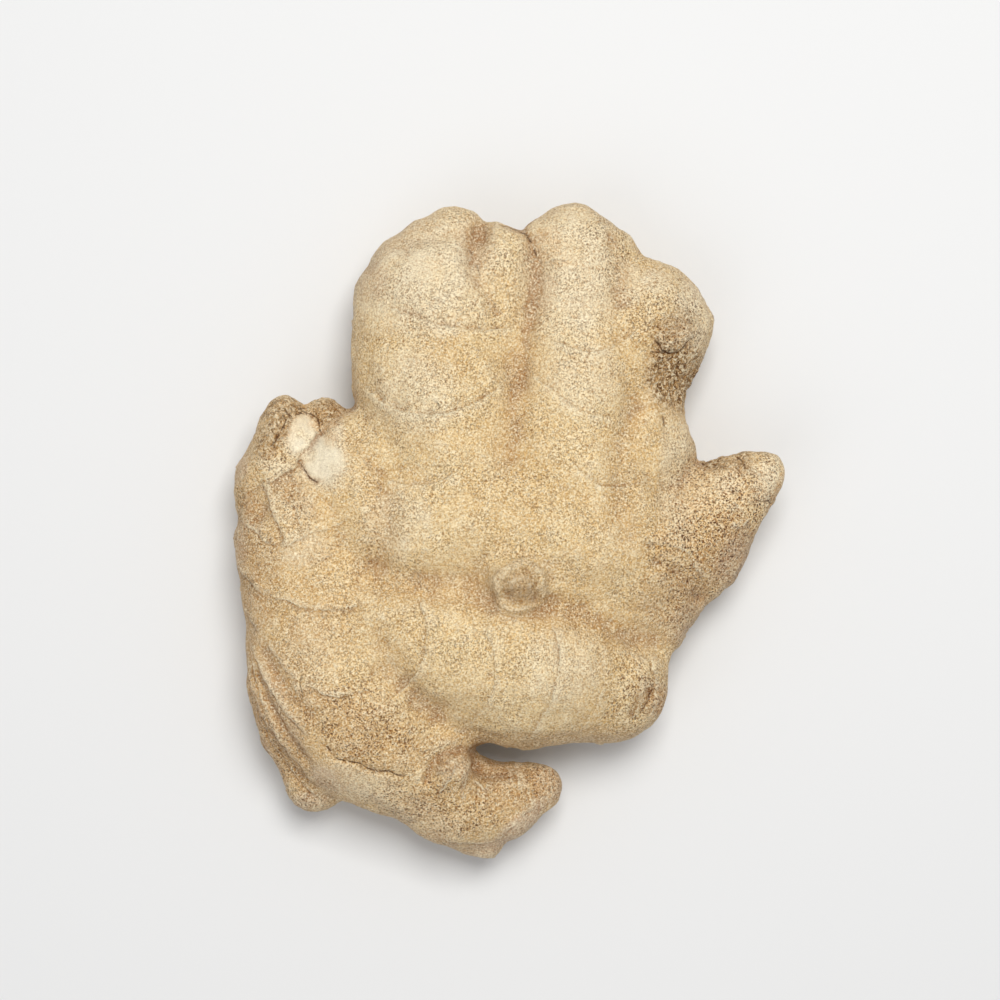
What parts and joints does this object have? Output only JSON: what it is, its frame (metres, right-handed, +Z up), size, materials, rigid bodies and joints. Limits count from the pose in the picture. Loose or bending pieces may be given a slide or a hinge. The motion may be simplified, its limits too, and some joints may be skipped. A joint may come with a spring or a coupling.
{
  "type": "ginger root",
  "caption": "Fresh ginger root: one branching hand of plump knobs and short fingers with ringed, rough tan skin, lying flat.",
  "frame": {"origin": "on the floor under the middle of the hand's box", "axes": "+Z up from the surface that the hand lies on, +Y along its longest side towards the two big knobs, +X towards the side finger"},
  "size_m": [0.1218, 0.1454, 0.0389],
  "materials": {
    "ginger_skin": "dry tan skin, satin, with fine brown speckle, leaf-scar rings, shallow cracks and brown corky scars"
  },
  "bodies": {
    "root": {"ginger_root": "ginger_skin"}
  },
  "joints": []
}
